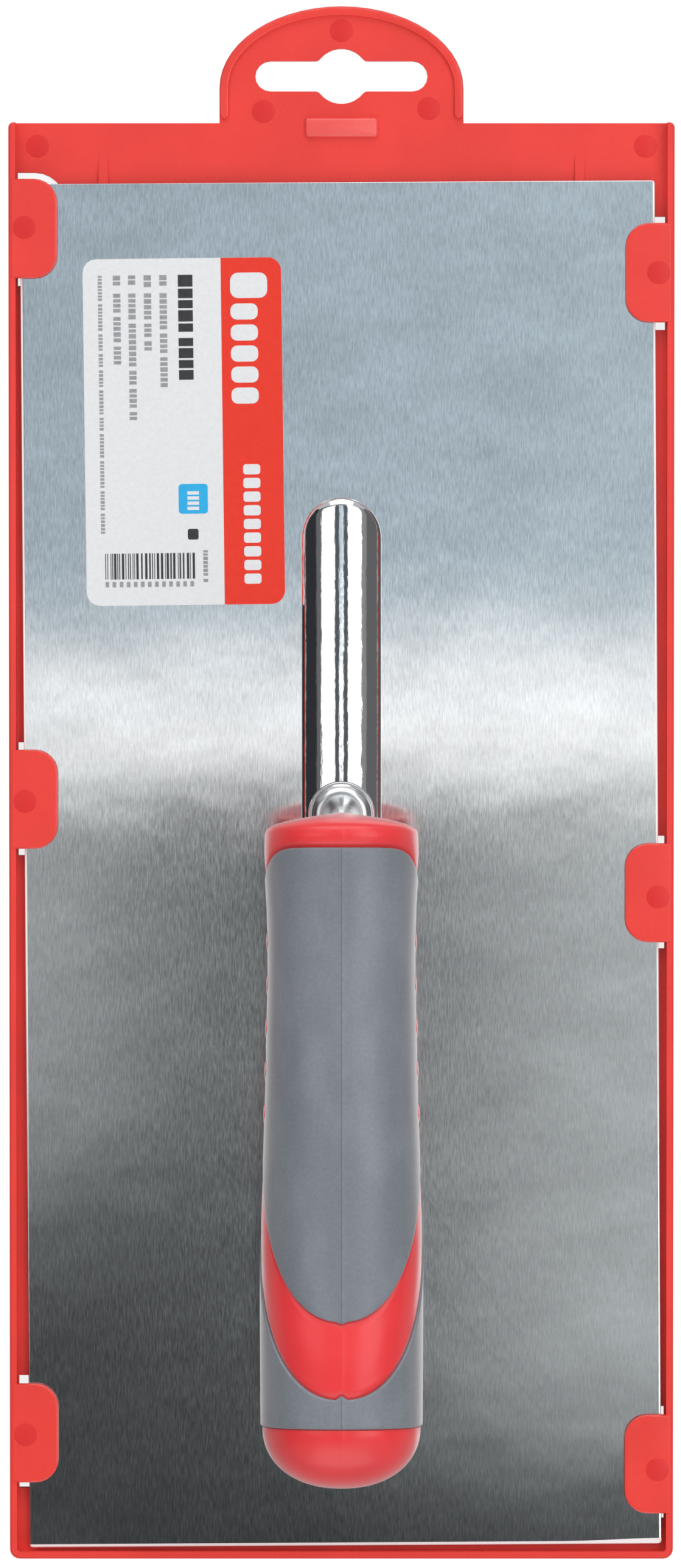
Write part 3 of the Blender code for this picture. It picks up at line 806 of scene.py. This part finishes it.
def parting_ridge(angle):
    """Height of the thin flash line along the top and bottom."""
    off = min(abs(math.remainder(angle, math.pi)), math.radians(1))
    return 0.05 * MM if off < math.radians(0.6) else 0.0


def handle_ring(station, inset=0.0, radius=None, ridge=1.0):
    ring = []
    for angle in ring_angles():
        place = station(section(angle)[1]) if callable(station) else station
        reach = half_width(place) - inset if radius is None else radius
        ring.append(handle_point(place, angle, reach + ridge * parting_ridge(angle)))
    return ring


def collar_edge(height):
    side = COLLAR_SIDE * (1 - max(height, 0) ** 2) ** COLLAR_POWER
    return COLLAR_TOP + side + COLLAR_CHIN * min(height, 0) ** 2


def nick(height):
    """1 on the parting line along the handle's top, and 0 a little to each side."""
    return max(0.0, 1 - (1 - height) / 0.0005)


def band_front(height):
    return (67.0 + 32.9 * height + 0.4 * nick(height)) * MM


def band_rear(height):
    return (88.5 + 26.8 * height - 0.8 * nick(height)) * MM


def grip_end(height):
    return (GRIP_END - 1.0 * height) * MM


def shifted(edge, distance):
    return lambda height: edge(height) + distance


def between(first, second, part):
    return lambda height: first(height) + part * (second(height) - first(height))


def level(station):
    return lambda height: station


def zone(first, second, inset, steps, crown=0.0):
    rings = []
    for i in range(steps + 1):
        swell = crown * math.sin(math.pi * i / steps)
        rings.append(handle_ring(between(first, second, i / steps), inset - swell))
    return rings


def build_core(look):
    """The red core: collar, band and the hidden barrel under the grips, with its rear counterbore."""
    deep = 2.1 * MM
    grip_low = shifted(collar_edge, -SEAM)
    grip_high = shifted(band_front, SEAM)
    ring_front = shifted(band_rear, -SEAM)
    rings = []
    for part in (0.004, 0.02, 0.05, 0.1, 0.17, 0.26, 0.38, 0.52, 0.68, 0.84):
        shrink = (1 - (1 - part) ** FRONT_POWER) ** (1 / FRONT_POWER)
        rings.append(handle_ring(part * FRONT_ROUND, radius=(half_width(0) - PROUD) * shrink, ridge=0.5))
    rings += zone(level(FRONT_ROUND), shifted(grip_low, -1.7 * MM), PROUD, 6, 0.1 * MM)
    for back, sunk in ((1.2, 0.06), (0.8, 0.22), (0.45, 0.42), (0.15, 0.58), (0.0, 0.62)):
        rings.append(handle_ring(shifted(grip_low, -back * MM), PROUD + sunk * MM))
    rings += zone(grip_low, grip_high, deep, 10)
    slope = ((0.0, 0.42), (0.15, 0.38), (0.5, 0.24), (1.0, 0.08), (1.6, 0.0))
    rings += [handle_ring(shifted(grip_high, back * MM), PROUD + sunk * MM) for back, sunk in slope]
    rings += zone(shifted(grip_high, 2.2 * MM), shifted(ring_front, -2.2 * MM), PROUD, 12, 0.2 * MM)
    rings += [handle_ring(shifted(ring_front, -back * MM), PROUD + sunk * MM) for back, sunk in slope[::-1]]
    rings += zone(ring_front, shifted(grip_end, -0.1 * MM), deep, 3)
    core = skin("handle_core_moulding", rings)
    centres = [Vector((0, HANDLE_FRONT - station, HANDLE_Z)) for station in COUNTERBORE_STATIONS]
    bore = [circle(centre, COUNTERBORE_RADIUS, 64, ALONG_Z, ALONG_X) for centre in centres]
    cutters = [skin("counterbore_cutter", bore)]
    cutters.append(copy_of("neck_rod", "tang_cutter", 0.15 * MM))
    for cutter in cutters:
        step = core.modifiers.new("bore", "BOOLEAN")
        step.operation = "DIFFERENCE"
        step.object = cutter
    apply_modifiers(core)
    for cutter in cutters:
        bpy.data.objects.remove(cutter)
    smooth(core, 32)
    return finish_piece(core, TROWEL, look, ["handle_core"])


def copy_of(name, new_name, grow):
    """A copy of a piece, moved out along its normals by grow."""
    source = bpy.data.objects[name]
    mesh = source.data.copy()
    normals = [v.normal.copy() for v in mesh.vertices]
    for vertex, normal in zip(mesh.vertices, normals):
        vertex.co += normal * grow
    return link(new_name, mesh)


GRIP_RIM = 0.45 * MM
RIM_DEGREES = (0, 22, 45, 68)


def build_grip(name, first, second, steps, look, node):
    """A soft shell between two edges, its rims rolled over."""

    def rolled(edge, direction, degrees):
        angle = math.radians(degrees)
        back = direction * GRIP_RIM * (1 - math.cos(angle))
        return handle_ring(shifted(edge, back), GRIP_RIM * (1 - math.sin(angle)))

    outer = [rolled(first, 1, degrees) for degrees in RIM_DEGREES]
    outer += zone(shifted(first, GRIP_RIM), shifted(second, -GRIP_RIM), 0, steps)
    outer += [rolled(second, -1, degrees) for degrees in RIM_DEGREES[::-1]]
    inner = zone(first, second, 2.0 * MM, max(3, steps // 3))
    grip = smooth(skin(name, outer + inner[::-1], closed=True), 40)
    return finish_piece(grip, TROWEL, look, [node])


def build_cap(look):
    start = shifted(grip_end, 0.1 * MM)
    finish = level(HANDLE_LENGTH)
    radius = half_width(GRIP_END * MM) - 1.3 * PROUD
    rings = [handle_ring(station, radius=SPIGOT_RADIUS, ridge=0) for station in (SPIGOT_STATION, start)]
    for degrees in (0, 30, 60, 90):
        angle = math.radians(degrees)
        station = shifted(start, CAP_EDGE * (1 - math.cos(angle)))
        rings.append(handle_ring(station, radius=radius - CAP_EDGE * (1 - math.sin(angle))))
    for i in range(2, 30):
        part = math.sin(math.radians(90 * i / 30))
        shrink = (1 - part ** CAP_POWER) ** (1 / CAP_POWER)
        rings.append(handle_ring(between(start, finish, part), radius=radius * shrink, ridge=1 - part))
    rings.append(handle_ring(HANDLE_LENGTH, radius=0.3 * MM, ridge=0))
    cap = smooth(skin("end_cap_moulding", rings), 40)
    return finish_piece(cap, TROWEL, look, ["end_cap"])


def tread_bar(side, station, look, index):
    """One raised slanting bar on the side of the front grip."""
    across = 12
    along = 8
    half_angle = math.radians(19)
    half_length = 1.7 * MM
    grid = {}
    for layer in (0, 1):
        for i in range(across + 1):
            for j in range(along + 1):
                u = 2 * i / across - 1
                v = 2 * j / along - 1
                round_u = u * math.sqrt(1 - 0.12 * v * v)
                round_v = v * math.sqrt(max(0.0, 1 - 0.75 * u ** 6))
                angle = side * math.radians(98) + round_u * half_angle
                place = station + round_v * half_length + side * round_u * 2.4 * MM
                crown = (1 - abs(u) ** 5) * (1 - abs(v) ** 4)
                height = -0.5 * MM if layer == 0 else -0.12 * MM + 0.34 * MM * crown ** 0.5
                grid[layer, i, j] = handle_point(place, angle, half_width(place) + height)
    keys = list(grid)
    index_of = {key: n for n, key in enumerate(keys)}
    faces = []
    for i in range(across):
        for j in range(along):
            for layer in (0, 1):
                corners = ((layer, i, j), (layer, i + 1, j), (layer, i + 1, j + 1), (layer, i, j + 1))
                faces.append(tuple(index_of[c] for c in corners))
    border = [(i, 0) for i in range(across)] + [(across, j) for j in range(along)]
    border += [(i, along) for i in range(across, 0, -1)] + [(0, j) for j in range(along, 0, -1)]
    for n, (i, j) in enumerate(border):
        k, m = border[(n + 1) % len(border)]
        faces.append(tuple(index_of[c] for c in ((0, i, j), (0, k, m), (1, k, m), (1, i, j))))
    name = f"tread_bar_{'left' if side < 0 else 'right'}_{index + 1}"
    made = smooth(mesh_object(name, [grid[key] for key in keys], faces), 50)
    return finish_piece(made, TROWEL, look)


# Hidden hardware keeps its CAD shape


def dress_hardware(look):
    names = [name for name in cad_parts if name.startswith(("blade_rivet", "tang_nut", "tang_washer"))]
    for name in names:
        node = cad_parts[name]
        node.data.materials.clear()
        node.data.materials.append(look)
        smooth(node, 35)


# Stage, light and camera


FLOOR_HALF = 6.0
FLOOR_Z = -0.2 * MM
FLOOR_GLOW = 0.84


def build_floor():
    """A plain floor, which glows for the camera only, so that it looks pale and lights nothing."""
    signs = ((-1, -1), (1, -1), (1, 1), (-1, 1))
    corners = [(FLOOR_HALF * a, FLOOR_HALF * b, FLOOR_Z) for a, b in signs]
    floor = mesh_object("floor", corners, [(0, 1, 2, 3)])
    look = Look("pale floor")
    look.set(Roughness=0.9, Base_Color=(0.34, 0.34, 0.34, 1.0), Emission_Color=(1.0, 1.0, 1.0, 1.0))
    seen = look.node("ShaderNodeLightPath").outputs["Is Camera Ray"]
    look.wire(look.math("MULTIPLY", seen, FLOOR_GLOW), look.shader.inputs["Emission Strength"])
    floor.data.materials.append(look.material)


SOFTBOX_OUT = 0.80
SOFTBOX_Y = 0.10
SOFTBOX_HEIGHT = 1.20
SOFTBOX_WIDTH = 0.97
SOFTBOXES = (("left_softbox", -1, 2.4, 0.72), ("right_softbox", 1, 6.7, 1.15))


def build_lights():
    """A softbox above each side. A lamp that isn't turned faces straight down."""
    for name, side, power, length in SOFTBOXES:
        data = bpy.data.lights.new(name, "AREA")
        data.shape = "RECTANGLE"
        data.size = SOFTBOX_WIDTH
        data.size_y = length
        data.energy = power
        lamp = bpy.data.objects.new(name, data)
        lamp.location = (side * SOFTBOX_OUT, SOFTBOX_Y, SOFTBOX_HEIGHT)
        bpy.context.scene.collection.objects.link(lamp)


# The room is painted by direction. x, y and z are the parts of a unit vector, so near the zenith
# x and y are small, and z falls from 1 overhead to 0 at the horizon.

FOOT_MIDDLE = (0.04, 0.04, 0.04)
FOOT_TINT = (0.95, 1.0, 1.01)
STRIP_LEFT = (1.50, 1.50, 1.50)
STRIP_RIGHT = (1.80, 1.80, 1.80)
CEILING_LEFT = (0.55, 0.66, 0.74)
CEILING_RIGHT = (0.66, 0.79, 0.87)
SIDE_GAP = (0.10, 0.11, 0.12)
WALL_LOW = (0.35, 0.35, 0.36)
WALL_HIGH = (0.26, 0.265, 0.27)
WALL_LEFT = (0.14, 0.145, 0.15)
CORNERS = (0.52, 0.53, 0.55)
FOOT_CARD = (1.75, 1.75, 1.76)
BACK_CARD = (2.5, 2.5, 2.51)
FLAG_RIGHT = (0.13, 0.13, 0.135)
FLAG_LEFT = (0.03, 0.032, 0.036)
BACKDROP = (1.0, 1.0, 1.0)


def paint_overhead(room, x, y, across):
    """What the blade mirrors from above, from the foot end to the tab end.

    A dark end with a glow on each side, then a bright strip, then a plain bluish ceiling. All of it
    is a little brighter on the right.
    """
    left_glow = room.ease(y, -0.102, -0.060, 0.08, 0.66)
    right_glow = room.ease(y, -0.133, -0.106, 0.10, 0.78)
    foot_end = room.mix(room.ease(x, -0.040, -0.020), left_glow, FOOT_MIDDLE)
    foot_end = room.mix(room.ease(x, 0.0, 0.035), foot_end, right_glow)
    foot_end = room.mix(1.0, foot_end, FOOT_TINT, "MULTIPLY")
    rightward = room.ease(x, 0.0, 0.04)
    strip = room.mix(rightward, STRIP_LEFT, STRIP_RIGHT)
    ceiling = room.mix(rightward, CEILING_LEFT, CEILING_RIGHT)
    overhead = room.mix(room.ease(y, -0.031, -0.024), foot_end, strip)
    overhead = room.mix(room.ease(y, -0.019, 0.001), overhead, ceiling)
    return room.mix(room.ease(across, 0.07, 0.10), overhead, SIDE_GAP)


def paint_walls(room, x, y, z, across):
    """Grey walls, darker on the left and paler in the corners.

    Each end has a bright card in its middle, and each side has a dark flag.
    """
    walls = room.mix(room.ease(z, 0.0, 0.6), WALL_LOW, WALL_HIGH)
    walls = room.mix(room.ease(x, -0.8, 0.4), WALL_LEFT, walls)
    endwise = room.ease(room.math("ABSOLUTE", y), 0.35, 0.50)
    corner = room.math("MULTIPLY", room.ease(across, 0.35, 0.50), endwise)
    walls = room.mix(corner, walls, CORNERS)
    central = room.math("MULTIPLY", room.ease(across, 0.55, 0.40), room.ease(z, 0.08, 0.22))
    foot_card = room.math("MULTIPLY", room.ease(y, -0.35, -0.75), central)
    walls = room.mix(foot_card, walls, FOOT_CARD)
    back_card = room.math("MULTIPLY", room.ease(y, 0.42, 0.62), room.ease(z, 0.90, 0.75))
    back_card = room.math("MULTIPLY", back_card, central)
    walls = room.mix(back_card, walls, BACK_CARD)
    walls = room.mix(room.ease(x, 0.84, 0.88), walls, FLAG_RIGHT)
    return room.mix(room.ease(x, -0.84, -0.88), walls, FLAG_LEFT)


def build_world():
    world = bpy.data.worlds.new("studio")
    bpy.context.scene.world = world
    world.use_nodes = True
    room = Graph(world.node_tree)
    split = room.node("ShaderNodeSeparateXYZ")
    room.wire(room.node("ShaderNodeTexCoord").outputs["Generated"], split.inputs[0])
    x, y, z = split.outputs
    across = room.math("ABSOLUTE", x)
    overhead = paint_overhead(room, x, y, across)
    walls = paint_walls(room, x, y, z, across)
    painted = room.mix(room.ease(z, 0.940, 0.955), walls, overhead)
    seen = room.node("ShaderNodeLightPath").outputs["Is Camera Ray"]
    background = room.tree.nodes["Background"]
    room.wire(room.mix(seen, painted, BACKDROP), background.inputs["Color"])
    background.inputs["Strength"].default_value = 1.0


CAMERA_HEIGHT = 1.5
CAMERA_OFFSET = Vector((0, 0.042, 0))
CAMERA_ASIDE = 0.2 * MM
FRAME_HEIGHT = 321.7 * MM
SENSOR = 36.0


def build_camera():
    """Looks almost straight down, with the tab at the top of the picture."""
    low, high = Vector(cad_box[0]), Vector(cad_box[1])
    middle = (low + high) / 2
    target = Vector((middle.x - CAMERA_ASIDE, middle.y, BLADE_TOP))
    place = target + CAMERA_OFFSET + Vector((0, 0, CAMERA_HEIGHT))
    data = bpy.data.cameras.new("camera")
    data.sensor_fit = "VERTICAL"
    data.sensor_height = SENSOR
    data.sensor_width = SENSOR
    data.lens = SENSOR * (place - target).length / FRAME_HEIGHT
    data.clip_start = 0.01
    camera = bpy.data.objects.new("camera", data)
    bpy.context.scene.collection.objects.link(camera)
    forward = (target - place).normalized()
    right = forward.cross(Vector((0, 1, 0))).normalized()
    up = right.cross(forward)
    camera.matrix_world = Matrix.Translation(place) @ Matrix((right, up, -forward)).transposed().to_4x4()
    bpy.context.scene.camera = camera


TREAD_FIRST = 27.0
TREAD_STEP = 8.5
TREADS = 5


def dress_carrier():
    base = moulded_red("carrier polypropylene", (0.90, 0.056, 0.043), (0.84, 0.051, 0.039),
                       roughness=0.30, grain=1800, depth=0.00001)
    marks = moulded_red("carrier pin marks", (0.78, 0.022, 0.020), (0.73, 0.019, 0.018),
                        roughness=0.42, grain=1800, depth=0.00001)
    # The pad's red is lighter than the carrier's own: painted highlight for its lit top face.
    pad = moulded_red("carrier pad painted highlight", (0.93, 0.125, 0.110), (0.88, 0.100, 0.090),
                      roughness=0.30, grain=1800, depth=0.00006)
    build_carrier(base, marks, pad)


def dress_label():
    white = label_film("label white", (0.815, 0.825, 0.835), (0.78, 0.79, 0.80))
    red = label_film("label red", (0.85, 0.032, 0.010), (0.82, 0.029, 0.009))
    ink = label_film("label ink", (0.035, 0.035, 0.04), (0.025, 0.025, 0.03))
    faint = label_film("label small print", (0.36, 0.36, 0.38), (0.30, 0.30, 0.32))
    blue = label_film("label blue", (0.02, 0.45, 0.83), (0.02, 0.42, 0.79))
    build_label_film(white, red)
    build_label_print(random.Random(7), ink, faint)
    build_label_tag(blue, white)
    build_band_marks(white)


def dress_handle():
    red = moulded_red("handle polypropylene", (0.90, 0.046, 0.052), (0.84, 0.042, 0.048),
                      roughness=0.30, grain=2400, depth=0.000012, sheen=0.9)
    grey = soft_grip()
    build_core(red)
    build_grip("grip_front_shell", collar_edge, band_front, 60, grey, "grip_front")
    build_grip("grip_rear_shell", band_rear, grip_end, 24, grey, "grip_rear_ring")
    build_cap(red)
    for side in (-1, 1):
        for i in range(TREADS):
            tread_bar(side, (TREAD_FIRST + TREAD_STEP * i) * MM, red, i)


def main():
    bpy.context.scene.view_settings.view_transform = "Standard"
    dress_carrier()
    build_blade(brushed_blade())
    dress_label()
    build_bar(chrome_plate("chrome plate", 0.035, 0.075, 0.00008))
    build_neck(chrome_plate("satin chrome", 0.22, 0.28, 0.00001, 0.72))
    dress_handle()
    dress_hardware(zinc_plate())
    build_floor()
    build_lights()
    build_world()
    build_camera()


main()
